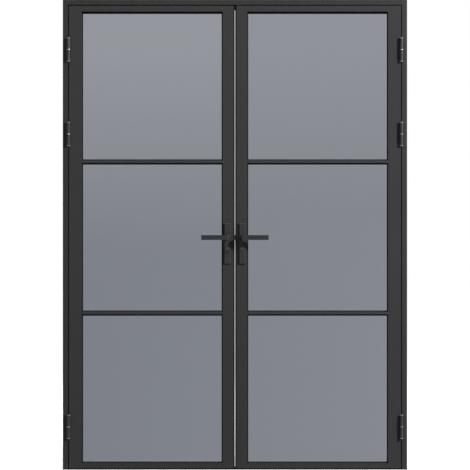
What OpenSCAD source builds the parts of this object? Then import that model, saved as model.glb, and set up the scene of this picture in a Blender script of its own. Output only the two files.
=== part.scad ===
// Double glass door in its frame: two glazed leaves, low threshold, butt hinges, lever locks.
// Front faces -Y, +Z is up, the origin is on the floor at mid width and mid leaf depth.
$fn = 64;

/* [Frame] */
// Width over the outer faces of the jambs
frame_w = 1538; // [1300:1:1800]
// Height from the floor to the top of the head
frame_h = 2100; // [1900:1:2400]
// Face width of jambs and head seen from the front
frame_face = 23.5; // [18:0.5:40]
// Wall of the hollow frame profile
frame_wall = 2; // [1.5:0.1:3]
// Depth of the stop behind the leaves
stop_depth = 22; // [12:1:40]
// Overlap of the stop behind the leaf edge
stop_cover = 16; // [12:1:24]
// Height of the flat base of the threshold
sill_base = 4; // [2:0.5:5]
// Height of the threshold's upstand behind the leaves
sill_upstand = 9; // [8:1:20]
// Thickness of the rubber seal between stop and leaf
seal_t = 3.7; // [2:0.1:6]
// Width of the rubber seal on the stop
seal_w = 8; // [5:1:10]
// Diameter of the wall fixing holes through the jambs
fixing_d = 6.5; // [5:0.1:10]

/* [Gaps] */
// Gap between leaf and jamb or head
leaf_gap = 4; // [3:0.5:6]
// Gap between the bottom of the leaf and the base of the threshold
floor_gap = 2; // [2:0.5:6]
// Gap between the edges of the two closed leaves
meeting_gap = 3.2; // [3:0.1:5]
// Space kept between a moving piece and what it passes
run_gap = 0.3; // [0.2:0.05:0.5]
// Radial clearance of a turning fit
turn_fit = 0.05; // [0.02:0.01:0.1]

/* [Leaf profiles] */
// Depth of the leaves from front to back
leaf_depth = 44; // [40:1:60]
// Wall of the hollow leaf profiles
leaf_wall = 2; // [1.5:0.1:3]
// Face width of the hinge stile
hinge_stile_face = 57.5; // [45:0.5:90]
// Face width of the meeting stile
lock_stile_face = 48; // [48:1:80]
// Face height of the top rail
top_rail_face = 26.5; // [24:0.5:80]
// Face height of the bottom rail
bottom_rail_face = 24; // [20:0.5:120]
// Width of the front nose that the glass bears against
nose_w = 10; // [8:0.5:11]
// Depth of the front nose
nose_depth = 14; // [8:1:15]
// Face width of the glazing bars
bar_face = 12; // [12:1:40]
// Thickness of the web of the glazing bars
bar_web = 3; // [2:0.5:4]
// Width of the stepped edge along the meeting line
step_w = 5.4; // [3:0.2:8]
// Depth of the stepped edge along the meeting line
step_depth = 7; // [4:0.5:7]
// Thickness of the rubber strip at the back of the stepped edge
meeting_seal_t = 2; // [1:0.5:4]
// Reach of that rubber strip into the gap between the leaves
meeting_lip = 0.7; // [0:0.1:0.9]

/* [Glass] */
// Thickness of the tinted panes
glass_t = 10; // [6:1:12]
// Glass hidden behind the nose of stiles and rails
glass_cover = 6; // [4:0.5:7]
// Space from the edge of the glass to the web of a glazing bar
glass_play = 1.5; // [1:0.5:2]
// Rubber seen around each pane
gasket_sight = 4; // [2:0.5:6]
// Wall of the hollow glazing beads
bead_wall = 1.2; // [0.8:0.1:1.6]

/* [Hinges] */
// Height of the middle of the lowest hinge above the floor
hinge_low = 192; // [150:1:400]
// Distance of the middle hinge below the top of the frame
hinge_mid_drop = 601; // [500:1:900]
// Distance of the top hinge below the top of the frame
hinge_top_drop = 224; // [150:1:350]
// Height of a hinge over its end caps
hinge_h = 107; // [80:1:140]
// Outer radius of the hinge knuckle
knuckle_r = 7.2; // [6:0.1:7.4]
// Radius of the end caps and of the middle washer
cap_r = 7.7; // [6.5:0.1:7.8]
// Height of each end cap
cap_h = 3; // [2:0.5:5]
// Thickness of the middle washer
washer_t = 2.4; // [1.5:0.1:4]
// Radius of the hinge pin
pin_r = 3; // [2:0.1:4]
// Distance of the hinge axis in front of the leaf face
axis_out = 8; // [8:0.5:12]
// Thickness of the hinge flaps in the gap
flap_t = 1.8; // [1.2:0.1:1.8]
// Reach of the hinge flaps behind the front face
flap_reach = 32; // [20:1:40]

/* [Handles] */
// Distance of lever and cylinder axes from the middle of the door
lever_x = 33; // [32:0.5:34]
// Height of the lever axis above the floor
lever_z = 1037; // [950:1:1100]
// Length of the lever from its axis to the tip
lever_len = 117; // [90:1:150]
// Height of the flat lever bar
lever_h = 21.6; // [14:0.2:24]
// Thickness of the lever bar
lever_t = 11; // [8:0.5:14]
// Width of the neck of the lever
neck_t = 12; // [10:0.5:16]
// Room for the fingers between plate and lever
finger_gap = 37; // [30:1:60]
// Outer radius of the bend at the inner end of the lever
bend_r = 7; // [4:0.5:8]
// Inner radius of the bend between neck and lever
fillet_r = 5; // [1:0.5:8]
// Radius of the round shank that turns in the plate
shank_r = 9; // [8:0.1:10]
// Height of the round collar on the plate
collar_h = 5; // [3:0.5:8]
// Width of the long plate
plate_w = 29; // [26:1:30]
// Thickness of the long plate
plate_t = 8; // [6:0.5:12]
// Bevel around the front of the long plate
plate_bevel = 2; // [1:0.2:3]
// Plate above the lever axis
plate_above = 64; // [40:1:90]
// Plate below the lever axis
plate_below = 118; // [90:1:140]
// Width of the square spindle
spindle_w = 8; // [7:1:8]

/* [Locks] */
// Distance of the cylinder below the lever axis
cylinder_drop = 50; // [48:1:60]
// Radius of the round part of the profile cylinder
cylinder_r = 8.5; // [8:0.1:9]
// Width of the lower part of the profile cylinder
cylinder_web = 10; // [9:0.5:11]
// Height of the profile cylinder
cylinder_h = 33; // [30:0.5:34]
// Radius of the turning plug
plug_r = 6.5; // [5:0.1:7]
// Reach of the cam on the plug
cam_r = 13; // [11:0.5:14]
// Width of the cam on the plug
cam_w = 9.6; // [8:0.2:10]
// Thickness of the lock cases
case_t = 16; // [14:1:20]
// Wall of the lock cases
case_wall = 1.5; // [1:0.1:2]
// Lock case above the lever axis
case_above = 27; // [24:1:60]
// Lock case below the lever axis
case_below = 87; // [86:1:110]
// Lock face plate beyond each end of the case
forend_over = 16; // [10:1:40]
// Height of the latch bolt
latch_h = 22; // [18:1:24]
// Thickness of the latch bolt
latch_t = 11; // [8:0.5:12]
// Travel of the latch bolt
latch_throw = 10.5; // [8:0.1:10.5]
// Height of the dead bolt
dead_h = 16; // [12:1:17]
// Travel of the dead bolt
dead_throw = 14; // [8:0.5:14]
// Height of the strike plate
strike_h = 76; // [70:1:90]
// Strike plate standing proud of the stile edge
strike_proud = 1; // [0.6:0.1:1]
// Height of the latch hole in the strike plate
strike_hole_h = 33; // [24:1:36]
// Radius of the top bolt rod
rod_r = 4; // [3:0.1:5]
// Travel of the top bolt rod
rod_throw = 10; // [8:0.5:10]

/* [Hidden] */

PAINT = "#3c3d3f";
RUBBER = "#1b1b1c";
STEEL = "#b4b6b8";
GLASS = "#8b8f99";

// Overlap that keeps joined or cut solids from sharing a face
eps = 0.01;
// Hairline left where two beads butt
butt_gap = 0.1;
// Bigger than any cross section, for cuts that pass right through
far = 400;

front_y = -leaf_depth / 2;
back_y = leaf_depth / 2;
stop_y = back_y + seal_t + run_gap;
frame_back = stop_y + stop_depth;
stop_reach = frame_face + leaf_gap + stop_cover;

jamb_x = frame_w / 2 - frame_face;
leaf_x = jamb_x - leaf_gap;
edge_x = meeting_gap / 2;
leaf_top = frame_h - frame_face - leaf_gap;
leaf_bottom = sill_base + floor_gap;
leaf_h = leaf_top - leaf_bottom;

hinge_body = hinge_stile_face - nose_w;
lock_body = step_w + lock_stile_face - nose_w;
top_body = top_rail_face - nose_w;
bottom_body = bottom_rail_face - nose_w;

// Clear opening between the noses, and the three bays between the glazing bars
open_x0 = edge_x + step_w + lock_stile_face;
open_x1 = leaf_x - hinge_stile_face;
open_z0 = leaf_bottom + bottom_rail_face;
open_z1 = leaf_top - top_rail_face;
bays = 3;
bay_h = (open_z1 - open_z0 - (bays - 1) * bar_face) / bays;
bar_cover = bar_face / 2 - bar_web / 2 - glass_play;
bar_bead = (bar_face - bar_web) / 2;
nose_y = front_y + nose_depth;
gasket_t = -nose_y - glass_t / 2;
bead_y = glass_t / 2 + gasket_t;

hinge_z = [hinge_low, frame_h - hinge_mid_drop, frame_h - hinge_top_drop];
axis_x = jamb_x - leaf_gap / 2;
axis_y = front_y - axis_out;
half_h = (hinge_h - washer_t) / 2;

lever_far = plate_t + finger_gap + lever_t;
cylinder_z = lever_z - cylinder_drop;
cylinder_len = leaf_depth + 2 * plate_t + 2;
case_x0 = edge_x + leaf_wall;
case_x1 = edge_x + lock_body - leaf_wall - run_gap;
follower_r = case_x1 - case_wall - run_gap - lever_x;
finger_r = 13;
finger_t = 3;
finger_lean = 30;
latch_back = case_x0 + case_wall + 5;
hook_x = lever_x - (finger_r - finger_t / 2) * sin(finger_lean) + finger_t / 2 + run_gap;
hook_t = 1.4;
hook_z = lever_z + finger_r - 2.5;
dead_z = cylinder_z + cam_r + 3;
rod_x = lever_x - finger_r - 2;
rod_tip = frame_h - frame_face + rod_throw - leaf_gap;
fixing_z = [90, 700, frame_h - 700, frame_h - 90];

// Puts a copy on the right (side 1) or its mirror image on the left (side -1)
module on_side(side) {
    if (side > 0) children();
    else mirror([1, 0, 0]) children();
}

// Rectangle from corner a to corner b
module area(a, b) {
    translate(a) square([b[0] - a[0], b[1] - a[1]]);
}

// Box from corner a to corner b
module block(a, b) {
    translate(a) cube([b[0] - a[0], b[1] - a[1], b[2] - a[2]]);
}

// Section of jamb and head: a hollow face part and a hollow stop behind the leaf
module frame_section() {
    difference() {
        union() {
            area([0, front_y], [frame_face, frame_back]);
            area([0, stop_y], [stop_reach, frame_back]);
        }
        area([frame_wall, front_y + frame_wall], [frame_face - frame_wall, frame_back - frame_wall]);
        area([frame_face, stop_y + frame_wall], [stop_reach - frame_wall, frame_back - frame_wall]);
    }
}

// Section of a leaf profile: a hollow body and a hollow nose that the glass bears against
module leaf_section(body) {
    difference() {
        union() {
            area([0, front_y], [body, back_y]);
            area([0, front_y], [body + nose_w, nose_y]);
        }
        area([leaf_wall, front_y + leaf_wall], [body - leaf_wall, back_y - leaf_wall]);
        area([body, front_y + leaf_wall], [body + nose_w - leaf_wall, nose_y - leaf_wall]);
    }
}

// Everything above (up = 1) or below (up = 0) the mitre plane of the right top corner
module mitre_space(up) {
    translate([frame_w / 2, 0, frame_h]) rotate([0, -45, 0])
        translate([-far / 2, -far / 2, up > 0 ? 0 : -far]) cube(far);
}

module fixing_holes() {
    for (z = fixing_z)
        translate([jamb_x - eps, 0, z]) rotate([0, 90, 0])
            cylinder(d = fixing_d, h = frame_face + 2 * eps);
}

module jamb(side) {
    color(PAINT) on_side(side) difference() {
        translate([frame_w / 2, 0, sill_base]) mirror([1, 0, 0])
            linear_extrude(frame_h - sill_base) frame_section();
        mitre_space(1);
        fixing_holes();
    }
}

module left_jamb() { jamb(-1); }
module right_jamb() { jamb(1); }

module frame_head() {
    color(PAINT) difference() {
        translate([-frame_w / 2, 0, frame_h]) rotate([0, 90, 0])
            linear_extrude(frame_w) frame_section();
        for (side = [-1, 1]) on_side(side) mitre_space(0);
        translate([rod_x, 0, frame_h - frame_face - eps])
            cylinder(r = rod_r + 3, h = frame_wall + 2 * eps);
    }
}

module threshold() {
    color(PAINT) {
        block([-frame_w / 2, front_y, 0], [frame_w / 2, frame_back, sill_base]);
        block([stop_reach - frame_w / 2, stop_y, sill_base - eps],
            [frame_w / 2 - stop_reach, frame_back, sill_upstand]);
    }
}

// Rubber strip on the front of the stop, up one jamb, along the head and down the other
module frame_seal() {
    out_x = frame_w / 2 - stop_reach + seal_w + 2;
    out_z = frame_h - stop_reach + seal_w + 2;
    color(RUBBER) difference() {
        block([-out_x, stop_y - seal_t, sill_base], [out_x, stop_y, out_z]);
        block([seal_w - out_x, -far, -far], [out_x - seal_w, far, out_z - seal_w]);
    }
}

// Cup in the head that takes the top bolt of the right leaf
module head_keep() {
    floor_z = frame_h - frame_face;
    color(STEEL) translate([rod_x, 0, 0]) difference() {
        union() {
            translate([0, 0, floor_z]) cylinder(r = rod_r + 3 - turn_fit, h = rod_throw);
            block([-12, -10, floor_z - 1], [12, 10, floor_z]);
        }
        translate([0, 0, floor_z - 2]) cylinder(r = rod_r + 0.5, h = rod_throw);
    }
}

// One half of a hinge: knuckle with an end cap and a flap in the gap, lower half for the jamb
module hinge_half(flap_dir) {
    flap_x = flap_dir > 0 ? leaf_gap / 2 - flap_t : -leaf_gap / 2;
    difference() {
        union() {
            rotate_extrude() polygon([[0, 0], [cap_r - 1, 0], [cap_r, 1], [cap_r, cap_h - 1],
                [cap_r - 0.6, cap_h - 0.4], [knuckle_r, cap_h], [knuckle_r, half_h], [0, half_h]]);
            block([flap_x, pin_r + 2, cap_h + 1],
                [flap_x + flap_t, axis_out + flap_reach, half_h - 1]);
        }
        translate([0, 0, cap_h]) cylinder(r = pin_r + turn_fit, h = half_h);
    }
}

module at_hinges() {
    for (z = hinge_z) translate([axis_x, axis_y, z]) children();
}

module hinge_frame_halves() {
    color(PAINT) for (side = [-1, 1]) on_side(side) at_hinges()
        translate([0, 0, -hinge_h / 2]) hinge_half(1);
}

module hinge_leaf_halves(side) {
    color(PAINT) on_side(side) at_hinges()
        translate([0, 0, hinge_h / 2]) mirror([0, 0, 1]) hinge_half(-1);
}

module left_hinge_leaf_halves() { hinge_leaf_halves(-1); }
module right_hinge_leaf_halves() { hinge_leaf_halves(1); }

// Pins stand in the lower halves and carry the upper ones
module hinge_pins() {
    pin_len = hinge_h - 2 * cap_h - run_gap;
    color(STEEL) for (side = [-1, 1]) on_side(side) at_hinges()
        translate([0, 0, cap_h - hinge_h / 2]) {
            cylinder(r = pin_r, h = pin_len - 1);
            translate([0, 0, pin_len - 1 - eps]) cylinder(r1 = pin_r, r2 = pin_r - 1, h = 1);
        }
}

module hinge_washers() {
    color(STEEL) for (side = [-1, 1]) on_side(side) at_hinges()
        translate([0, 0, -washer_t / 2]) difference() {
            cylinder(r = cap_r, h = washer_t - turn_fit);
            translate([0, 0, -1]) cylinder(r = pin_r + turn_fit, h = washer_t + 2);
        }
}

module hinge_stile(side) {
    color(PAINT) on_side(side) translate([leaf_x, 0, leaf_bottom]) mirror([1, 0, 0])
        linear_extrude(leaf_h) leaf_section(hinge_body);
}

module left_hinge_stile() { hinge_stile(-1); }
module right_hinge_stile() { hinge_stile(1); }

// Outline of a profile cylinder around its axis, larger by a margin
module cylinder_outline(margin) {
    foot = cylinder_h - cylinder_r - cylinder_web / 2;
    circle(r = cylinder_r + margin);
    area([-cylinder_web / 2 - margin, -foot], [cylinder_web / 2 + margin, 0]);
    translate([0, -foot]) circle(r = cylinder_web / 2 + margin);
}

// Carries an outline in X and Z from y0 to y1
module along_y(y0, y1) {
    translate([0, y1, 0]) rotate([90, 0, 0]) linear_extrude(y1 - y0) children();
}

// Holes through the stile for spindle and cylinder
module handle_holes() {
    translate([lever_x, 0, 0]) along_y(front_y - 1, back_y + 1) {
        translate([0, lever_z]) circle(r = spindle_w);
        translate([0, cylinder_z]) cylinder_outline(run_gap);
    }
}

module lock_stile_blank() {
    difference() {
        translate([edge_x, 0, leaf_bottom]) linear_extrude(leaf_h) difference() {
            leaf_section(lock_body);
            area([-1, front_y - 1], [step_w, front_y + step_depth]);
        }
        handle_holes();
    }
    // Wall behind the step, which closes the hollow again
    translate([edge_x, 0, leaf_bottom]) linear_extrude(leaf_h) {
        area([0, front_y + step_depth], [step_w + leaf_wall, front_y + step_depth + leaf_wall]);
        area([step_w, front_y], [step_w + leaf_wall, front_y + step_depth + leaf_wall]);
    }
}

// Slot in the edge wall of the meeting stile, from z0 to z1 and t wide
module edge_slot(z0, z1, t) {
    block([edge_x - 1, -t / 2, z0], [case_x0 + eps, t / 2, z1]);
}

module left_lock_stile() {
    color(PAINT) on_side(-1) difference() {
        lock_stile_blank();
        edge_slot(forend_z0() - turn_fit, forend_z1() + turn_fit, case_t + 2 * turn_fit);
    }
}

module right_lock_stile() {
    color(PAINT) difference() {
        lock_stile_blank();
        strike_holes(edge_x - 1, case_x0 + eps);
    }
}

// Rail between the stile bodies, its ends cut back around the noses of the stiles
module coped_rail(body) {
    x0 = edge_x + lock_body;
    x1 = leaf_x - hinge_body;
    difference() {
        children();
        block([x0 - 1, front_y - 1, -1], [open_x0, nose_y, frame_h]);
        block([open_x1, front_y - 1, -1], [x1 + 1, nose_y, frame_h]);
    }
}

module top_rail(side) {
    color(PAINT) on_side(side) coped_rail()
        translate([edge_x + lock_body, 0, leaf_top]) rotate([0, 90, 0])
            linear_extrude(leaf_x - hinge_body - edge_x - lock_body) leaf_section(top_body);
}

module bottom_rail(side) {
    color(PAINT) on_side(side) coped_rail()
        translate([leaf_x - hinge_body, 0, leaf_bottom]) rotate([0, -90, 0])
            linear_extrude(leaf_x - hinge_body - edge_x - lock_body) leaf_section(bottom_body);
}

module left_top_rail() { top_rail(-1); }
module right_top_rail() { top_rail(1); }
module left_bottom_rail() { bottom_rail(-1); }
module right_bottom_rail() { bottom_rail(1); }

// Lower edge of bay i, counted from the floor
function bay_z(i) = open_z0 + i * (bay_h + bar_face);

// T-shaped glazing bars: a hollow nose in front and a web between the panes
module glazing_bars(side) {
    color(PAINT) on_side(side) for (i = [1 : bays - 1]) {
        z = bay_z(i) - bar_face / 2;
        difference() {
            block([open_x0, front_y, z - bar_face / 2], [open_x1, nose_y, z + bar_face / 2]);
            block([open_x0 - 1, front_y + leaf_wall, z - bar_face / 2 + leaf_wall],
                [open_x1 + 1, nose_y - leaf_wall, z + bar_face / 2 - leaf_wall]);
        }
        block([open_x0, nose_y - 1, z - bar_web / 2], [open_x1, nose_y + 1, z + bar_web / 2]);
        block([edge_x + lock_body, nose_y, z - bar_web / 2],
            [leaf_x - hinge_body, back_y, z + bar_web / 2]);
    }
}

module left_glazing_bars() { glazing_bars(-1); }
module right_glazing_bars() { glazing_bars(1); }

// Glass hidden below and above bay i
function cover_below(i) = i == 0 ? glass_cover : bar_cover;
function cover_above(i) = i == bays - 1 ? glass_cover : bar_cover;

module pane(side, i) {
    color(GLASS, 0.6) on_side(side)
        block([open_x0 - glass_cover, -glass_t / 2, bay_z(i) - cover_below(i)],
            [open_x1 + glass_cover, glass_t / 2, bay_z(i) + bay_h + cover_above(i)]);
}

module left_top_pane() { pane(-1, 2); }
module left_middle_pane() { pane(-1, 1); }
module left_bottom_pane() { pane(-1, 0); }
module right_top_pane() { pane(1, 2); }
module right_middle_pane() { pane(1, 1); }
module right_bottom_pane() { pane(1, 0); }

// Flat rubber ring between y0 and y1 around bay i
module gasket_ring(i, y0, y1) {
    difference() {
        block([open_x0 - glass_cover, y0, bay_z(i) - cover_below(i)],
            [open_x1 + glass_cover, y1, bay_z(i) + bay_h + cover_above(i)]);
        block([open_x0 + gasket_sight, y0 - 1, bay_z(i) + gasket_sight],
            [open_x1 - gasket_sight, y1 + 1, bay_z(i) + bay_h - gasket_sight]);
    }
}

module glazing_gaskets(side) {
    color(RUBBER) on_side(side) for (i = [0 : bays - 1]) {
        gasket_ring(i, nose_y, -glass_t / 2);
        gasket_ring(i, glass_t / 2, bead_y);
    }
}

module left_glazing_gaskets() { glazing_gaskets(-1); }
module right_glazing_gaskets() { glazing_gaskets(1); }

// Section of a hollow glazing bead, w wide, with its inner back edge bevelled
module bead_section(w) {
    bevel = bead_wall;
    difference() {
        polygon([[0, bead_y], [w, bead_y], [w, back_y - bevel], [w - bevel, back_y], [0, back_y]]);
        area([bead_wall, bead_y + bead_wall], [w - bead_wall, back_y - 2 * bead_wall]);
    }
}

// Four beads around bay i: the level ones run through, the upright ones stand between
module bay_beads(i) {
    low = i == 0 ? nose_w : bar_bead;
    high = i == bays - 1 ? nose_w : bar_bead;
    x0 = open_x0 - nose_w;
    x1 = open_x1 + nose_w;
    z0 = bay_z(i);
    z1 = z0 + bay_h;
    translate([x1, 0, z0 - low]) rotate([0, -90, 0]) linear_extrude(x1 - x0) bead_section(low);
    translate([x0, 0, z1 + high]) rotate([0, 90, 0]) linear_extrude(x1 - x0) bead_section(high);
    for (end = [0, 1])
        translate([end > 0 ? x1 : x0, 0, z0 + butt_gap]) mirror([end, 0, 0])
            linear_extrude(bay_h - 2 * butt_gap) bead_section(nose_w);
}

module glazing_beads(side) {
    color(PAINT) on_side(side) for (i = [0 : bays - 1]) bay_beads(i);
}

module left_glazing_beads() { glazing_beads(-1); }
module right_glazing_beads() { glazing_beads(1); }

// Rubber strip at the back of the stepped edge, with a lip into the gap between the leaves
module meeting_seal(side) {
    color(RUBBER) on_side(side)
        block([edge_x - meeting_lip, front_y + step_depth - meeting_seal_t, leaf_bottom],
            [edge_x + step_w, front_y + step_depth, leaf_top]);
}

module left_meeting_seal() { meeting_seal(-1); }
module right_meeting_seal() { meeting_seal(1); }

module bottom_seal(side) {
    color(RUBBER) on_side(side)
        block([edge_x, -4, sill_base + run_gap], [leaf_x, 4, leaf_bottom]);
}

module left_bottom_seal() { bottom_seal(-1); }
module right_bottom_seal() { bottom_seal(1); }

// Shell shared by lock case and gear case, open to the stile edge at the bolt
module case_shell() {
    z0 = lever_z - case_below;
    z1 = lever_z + case_above;
    difference() {
        block([case_x0, -case_t / 2, z0], [case_x1, case_t / 2, z1]);
        block([case_x0 + case_wall, case_wall - case_t / 2, z0 + case_wall],
            [case_x1 - case_wall, case_t / 2 - case_wall, z1 - case_wall]);
        translate([lever_x, 0, 0]) along_y(-case_t, case_t) {
            translate([0, lever_z]) circle(r = follower_r + turn_fit);
            translate([0, cylinder_z]) cylinder_outline(turn_fit);
        }
    }
}

// Openings for latch and dead bolt, larger than the bolts by a margin
module bolt_holes(x0, x1, margin) {
    block([x0, -latch_t / 2 - margin, lever_z - latch_h / 2 - margin],
        [x1, latch_t / 2 + margin, lever_z + latch_h / 2 + margin]);
    block([x0, -latch_t / 2 - margin, dead_z - margin],
        [x1, latch_t / 2 + margin, dead_z + dead_h + margin]);
}

module left_lock_case() {
    color(STEEL) on_side(-1) difference() {
        case_shell();
        bolt_holes(case_x0 - 1, case_x0 + case_wall + 1, run_gap);
    }
}

// Openings of the strike plate, also cut through the stile and the gear case
module strike_holes(x0, x1) {
    half_t = latch_t / 2 + 1;
    block([x0, -half_t, lever_z - strike_hole_h / 2], [x1, half_t, lever_z + strike_hole_h / 2]);
    block([x0, -half_t, dead_z - 1], [x1, half_t, lever_z - strike_hole_h / 2 + 1]);
}

module right_gear_case() {
    color(STEEL) difference() {
        case_shell();
        strike_holes(case_x0 - 1, case_x0 + case_wall + 1);
        translate([rod_x, 0, lever_z]) cylinder(r = rod_r + turn_fit, h = case_above + 1);
    }
}

function forend_z0() = lever_z - case_below - forend_over;
function forend_z1() = lever_z + case_above + forend_over;

module left_forend() {
    color(STEEL) on_side(-1) difference() {
        block([edge_x, -case_t / 2, forend_z0()], [case_x0, case_t / 2, forend_z1()]);
        bolt_holes(edge_x - 1, case_x0 + 1, run_gap);
        for (z = [forend_z0() + 7, forend_z1() - 7])
            translate([edge_x - eps, 0, z]) rotate([0, 90, 0])
                cylinder(r1 = 4, r2 = 2.1, h = leaf_wall + 2 * eps);
    }
}

// The front lip is notched at the latch, so that the latch nose shows from the front
module right_strike_plate() {
    color(STEEL) difference() {
        block([edge_x - strike_proud, -case_t / 2, lever_z - strike_h / 2],
            [edge_x, case_t / 2, lever_z + strike_h / 2]);
        strike_holes(edge_x - strike_proud - 1, edge_x + 1);
        block([edge_x - strike_proud - 1, -case_t, lever_z - strike_hole_h / 2],
            [edge_x + 1, 0, lever_z + strike_hole_h / 2]);
    }
}

// Front outline of a plate with its long edges bevelled, lying in the plane of the leaf
module bevelled_plate() {
    z0 = -plate_below;
    z1 = plate_above;
    b = plate_bevel;
    w = plate_w / 2;
    intersection() {
        translate([0, 0, z0]) linear_extrude(z1 - z0)
            polygon([[-w, 0], [w, 0], [w, b - plate_t], [w - b, -plate_t], [b - w, -plate_t],
                [-w, b - plate_t]]);
        translate([-w, 0, 0]) rotate([0, 90, 0]) linear_extrude(plate_w)
            polygon([[-z1, 0], [-z0, 0], [-z0, b - plate_t], [-z0 - b, -plate_t],
                [b - z1, -plate_t], [-z1, b - plate_t]]);
    }
}

// Puts a piece made for the front on the front (face 1) or turned to the back (face -1)
module on_face(face) {
    if (face > 0) translate([lever_x, front_y, lever_z]) children();
    else translate([lever_x, back_y, lever_z]) mirror([0, 1, 0]) children();
}

module plate(side, face) {
    color(PAINT) on_side(side) on_face(face) difference() {
        bevelled_plate();
        along_y(-plate_t - 1, 1) {
            circle(r = shank_r + turn_fit);
            translate([0, -cylinder_drop]) cylinder_outline(turn_fit);
        }
    }
}

module left_front_plate() { plate(-1, 1); }
module left_back_plate() { plate(-1, -1); }
module right_front_plate() { plate(1, 1); }
module right_back_plate() { plate(1, -1); }

// Flat bar bent out of the neck, seen from above, with a rounded bend outside and inside
module lever_outline() {
    n = neck_t / 2;
    y0 = -plate_t - collar_h;
    y1 = -lever_far;
    area([-n, y1 + bend_r], [n, y0]);
    area([bend_r - n, y1], [lever_len - 1, y1 + lever_t]);
    area([bend_r - n, y1 + 1], [lever_len, y1 + lever_t - 1]);
    translate([bend_r - n, y1 + bend_r]) circle(r = bend_r);
    for (y = [y1 + 1, y1 + lever_t - 1]) translate([lever_len - 1, y]) circle(r = 1);
    translate([n, y1 + lever_t]) difference() {
        area([-1, -1], [fillet_r, fillet_r]);
        translate([fillet_r, fillet_r]) circle(r = fillet_r);
    }
}

module lever(side, face) {
    color(PAINT) on_side(side) on_face(face) difference() {
        union() {
            translate([0, 0, -lever_h / 2]) linear_extrude(lever_h) lever_outline();
            translate([0, -run_gap, 0]) rotate([90, 0, 0])
                cylinder(r = shank_r, h = plate_t + collar_h);
            translate([0, -plate_t - run_gap, 0]) rotate([90, 0, 0])
                cylinder(r = lever_h / 2, h = collar_h);
        }
        block([-spindle_w / 2 - turn_fit, -spindle_seat(), -spindle_w / 2 - turn_fit],
            [spindle_w / 2 + turn_fit, 1, spindle_w / 2 + turn_fit]);
    }
}

// Depth of the square socket in the lever, from the face of the leaf
function spindle_seat() = plate_t + 20;

module left_front_lever() { lever(-1, 1); }
module left_back_lever() { lever(-1, -1); }
module right_front_lever() { lever(1, 1); }
module right_back_lever() { lever(1, -1); }

module spindle(side) {
    reach = back_y + spindle_seat() - run_gap;
    color(STEEL) on_side(side)
        block([lever_x - spindle_w / 2, -reach, lever_z - spindle_w / 2],
            [lever_x + spindle_w / 2, reach, lever_z + spindle_w / 2]);
}

module left_spindle() { spindle(-1); }
module right_spindle() { spindle(1); }

// Nut that turns with the spindle and moves the bolt with its finger
module follower(side, lean) {
    color(STEEL) on_side(side) translate([lever_x, 0, lever_z]) difference() {
        union() {
            along_y(-case_t / 2, case_t / 2) circle(r = follower_r);
            rotate([0, lean, 0]) along_y(-4, 4) {
                area([-finger_t / 2, 0], [finger_t / 2, finger_r - finger_t / 2]);
                translate([0, finger_r - finger_t / 2]) circle(d = finger_t);
            }
        }
        block([-spindle_w / 2 - turn_fit, -case_t, -spindle_w / 2 - turn_fit],
            [spindle_w / 2 + turn_fit, case_t, spindle_w / 2 + turn_fit]);
    }
}

module left_follower() { follower(-1, -finger_lean); }
module right_follower() { follower(1, -90); }

// Housing of the profile cylinder, slotted in the middle for the cam
module profile_cylinder(side) {
    color(STEEL) on_side(side) translate([lever_x, 0, cylinder_z]) difference() {
        along_y(-cylinder_len / 2, cylinder_len / 2) cylinder_outline(0);
        along_y(-cylinder_len, cylinder_len) circle(r = plug_r + turn_fit);
        block([-far, -cam_w / 2 - run_gap, -cam_r - run_gap], [far, cam_w / 2 + run_gap, far]);
    }
}

module left_cylinder() { profile_cylinder(-1); }
module right_cylinder() { profile_cylinder(1); }

// Plug with its cam, hanging down at rest, and a keyway at each end
module key_plug(side) {
    color(STEEL) on_side(side) translate([lever_x, 0, cylinder_z]) difference() {
        union() {
            along_y(-cylinder_len / 2, cylinder_len / 2) circle(r = plug_r);
            along_y(-cam_w / 2, cam_w / 2) {
                circle(r = cylinder_r - run_gap);
                area([-3, 3 - cam_r], [3, 0]);
                translate([0, 3 - cam_r]) circle(r = 3);
            }
        }
        for (end = [-1, 1])
            translate([0, end * cylinder_len / 2, -1]) cube([1.8, 16, 9], center = true);
    }
}

module left_key_plug() { key_plug(-1); }
module right_key_plug() { key_plug(1); }

// Bevelled nose through the forend, with a tail over the follower to its hook
module left_latch_bolt() {
    bar_z = lever_z + finger_r + run_gap + 0.3;
    tip_x = edge_x - latch_throw;
    color(STEEL) on_side(-1) {
        translate([0, 0, lever_z - latch_h / 2]) linear_extrude(latch_h)
            polygon([[tip_x, -latch_t / 2], [tip_x, -latch_t / 6], [edge_x, latch_t / 2],
                [latch_back, latch_t / 2], [latch_back, -latch_t / 2]]);
        block([case_x0 + case_wall + 0.5, -4, lever_z], [latch_back, 4, bar_z + 3]);
        block([latch_back - 1, -4, bar_z], [hook_x + hook_t, 4, bar_z + 3]);
        block([hook_x, -4, hook_z], [hook_x + hook_t, 4, bar_z + 3]);
    }
}

module left_dead_bolt() {
    color(STEEL) on_side(-1)
        block([edge_x, -latch_t / 2, dead_z], [case_x1 - case_wall - 1, latch_t / 2, dead_z + dead_h]);
}

// Rod up the hollow of the meeting stile, with jaws around the finger of the follower
module right_top_rod() {
    jaw = finger_t / 2 + 1.6;
    jaw_x1 = rod_x + rod_r;
    color(STEEL) {
        translate([rod_x, 0, lever_z + jaw]) cylinder(r = rod_r, h = rod_tip - 1 - lever_z - jaw);
        translate([rod_x, 0, rod_tip - 1 - eps]) cylinder(r1 = rod_r, r2 = rod_r - 1, h = 1);
        difference() {
            block([rod_x - rod_r, -5, lever_z - jaw - 3], [jaw_x1, 5, lever_z + jaw + 4]);
            block([rod_x - rod_r + 2, -6, lever_z - jaw], [jaw_x1 + 1, 6, lever_z + jaw]);
        }
    }
}

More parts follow.
